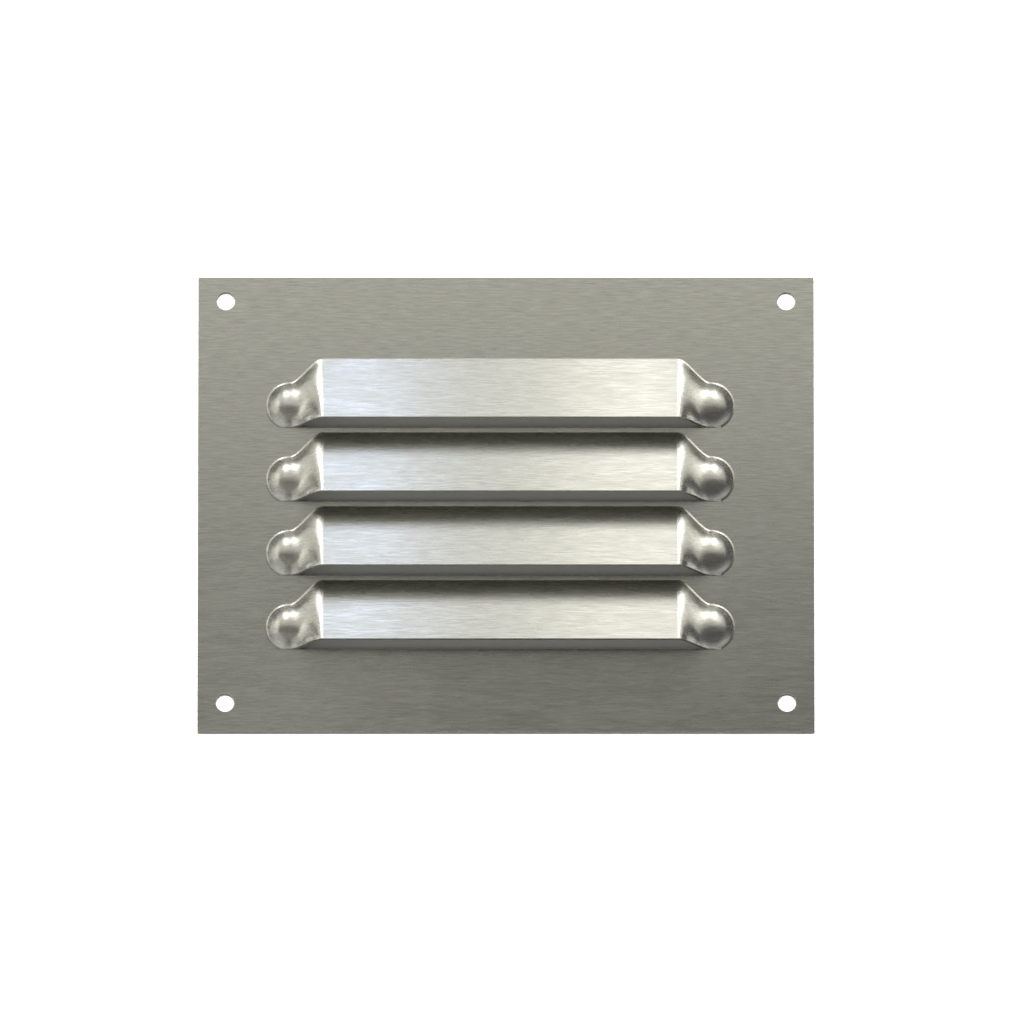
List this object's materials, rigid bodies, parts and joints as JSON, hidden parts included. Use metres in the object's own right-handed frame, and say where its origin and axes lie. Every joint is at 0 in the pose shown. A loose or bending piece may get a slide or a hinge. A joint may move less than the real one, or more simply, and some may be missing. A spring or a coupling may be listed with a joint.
{
  "type": "louvred ventilation panel",
  "caption": "Flat rectangular sheet metal panel with a row of pressed louvres, open along one long edge and rounded at both ends, and a fixing hole near each corner.",
  "frame": {"origin": "centre of the back face, which lies on Z = 0", "axes": "+Z out of the face, the side the louvres stand on; +X along the louvres; +Y across them, away from their open edges"},
  "size_m": [0.15, 0.112, 0.0082],
  "materials": {
    "brushed_steel": "brushed along the louvres, smoother where the ends are stretched"
  },
  "bodies": {
    "root": {"louvred_panel": "brushed_steel"}
  },
  "joints": []
}
